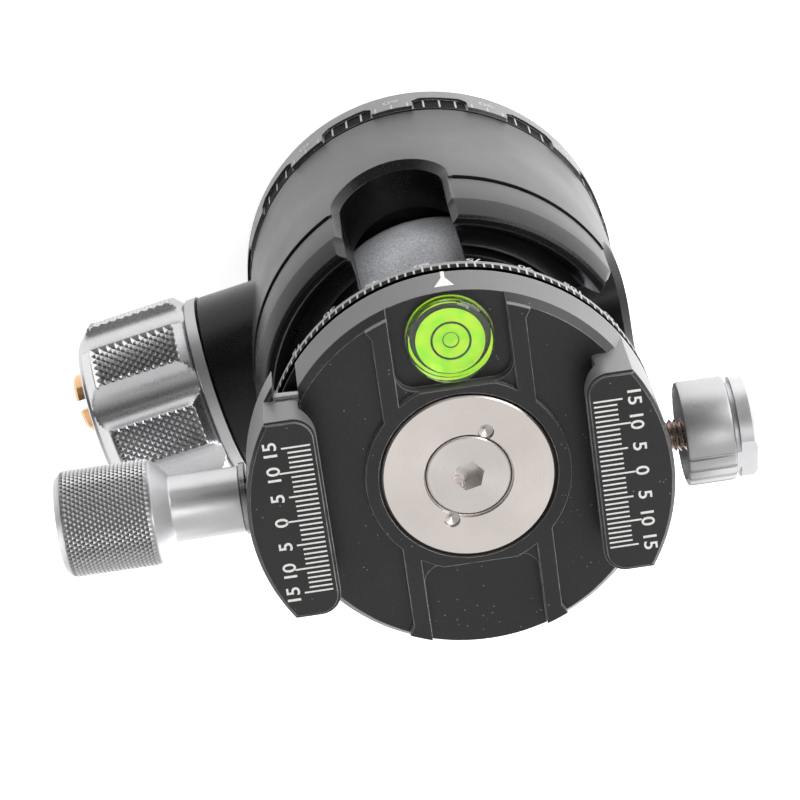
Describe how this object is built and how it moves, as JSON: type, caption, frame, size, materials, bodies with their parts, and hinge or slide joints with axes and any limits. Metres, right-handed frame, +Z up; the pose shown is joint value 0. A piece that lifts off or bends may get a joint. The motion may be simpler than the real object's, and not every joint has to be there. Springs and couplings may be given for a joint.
{
  "type": "tripod ball head",
  "caption": "Tripod ball head with a graduated panning base, drop notches, a large fluted locking knob, and a panning dovetail quick release clamp with a bubble level.",
  "frame": {"origin": "centre of the tripod screw hole's mouth, on the base's bottom face", "axes": "+Z up along the ball and panning axis, +Y along the dovetail slot away from the bubble level, +X towards the clamp screw knob"},
  "size_m": [0.1021, 0.0755, 0.0946],
  "materials": {
    "black_anodised": "matte bead blasted black anodising",
    "housing_black": "satin black anodising",
    "ball_finish": "hard anodised, polished",
    "silver": "satin silver anodising",
    "stainless": "turned stainless steel",
    "steel": "machined steel",
    "brass": "machined brass",
    "nylon": "natural nylon",
    "vial_green": "tinted liquid",
    "vial_clear": "clear acrylic"
  },
  "bodies": {
    "base": {"base_plate": "black_anodised", "thread_insert": "stainless", "glide_washer": "nylon", "base_retainer": "steel", "retainer_screws": "steel"},
    "housing_body": {"housing": "housing_black", "housing_floor": "housing_black", "ball_cup": "brass", "cup_spring": "steel", "pressure_pad": "brass"},
    "main_knob_body": {"main_lock_screw": "steel", "main_knob": "silver", "main_knob_flange": "silver"},
    "friction_body": {"friction_screw": "brass"},
    "base_lock_body": {"base_lock_knob": "silver", "base_lock_cap": "silver", "base_lock_screw": "steel", "base_lock_pad": "nylon"},
    "ball_body": {"ball": "ball_finish", "stem": "ball_finish", "panning_ring": "black_anodised", "bearing_disc": "stainless", "centre_screw": "stainless", "pan_washer": "nylon"},
    "clamp": {"clamp_body": "black_anodised", "vial_body": "vial_clear", "vial_liquid": "vial_green", "vial_plug": "vial_green"},
    "pan_lock_body": {"pan_lock_knob": "silver", "pan_lock_cap": "silver", "pan_lock_screw": "steel", "pan_lock_pad": "nylon"},
    "jaw": {"movable_jaw": "black_anodised", "guide_pins": "steel"},
    "clamp_knob_body": {"clamp_knob": "silver", "clamp_screw": "steel", "clamp_washer": "steel"}
  },
  "joints": [
    {"name": "base_pan", "type": "hinge", "parent": "base", "child": "housing_body", "pos_m": [0, 0, 0.0084], "axis": [0, 0, 1], "continuous": true},
    {"name": "main_lock", "type": "hinge", "parent": "housing_body", "child": "main_knob_body", "pos_m": [0, 0, 0.0244], "axis": [0.9836, 0.1805, 0], "range_deg": [-45, 270]},
    {"name": "friction_turn", "type": "hinge", "parent": "main_knob_body", "child": "friction_body", "pos_m": [0.00072, -0.00393, 0.0231], "axis": [0.9836, 0.1805, 0], "range_deg": [-90, 270]},
    {"name": "base_lock", "type": "hinge", "parent": "housing_body", "child": "base_lock_body", "pos_m": [0, 0, 0.0114], "axis": [-0.1805, 0.9836, 0], "range_deg": [-30, 180]},
    {"name": "ball_tilt", "type": "hinge", "parent": "housing_body", "child": "ball_body", "pos_m": [0, 0, 0.0422], "axis": [0.9836, 0.1805, 0], "range_deg": [-27, 90]},
    {"name": "clamp_pan", "type": "hinge", "parent": "ball_body", "child": "clamp", "pos_m": [0, 0, 0.0809], "axis": [0, 0, 1], "continuous": true},
    {"name": "pan_lock", "type": "hinge", "parent": "clamp", "child": "pan_lock_body", "pos_m": [0, 0, 0.0845], "axis": [-1, 0, 0], "range_deg": [-30, 180]},
    {"name": "jaw_slide", "type": "slide", "parent": "clamp", "child": "jaw", "axis": [1, 0, 0], "range_m": [-0.0034, 0.0011]},
    {"name": "clamp_turn", "type": "hinge", "parent": "jaw", "child": "clamp_knob_body", "pos_m": [0.033, 0, 0.0845], "axis": [1, 0, 0], "range_deg": [-1350, 360]}
  ],
  "couplings": [
    {"joint": "jaw_slide", "follows": "clamp_turn", "m_per_rad": 0.00012732}
  ]
}
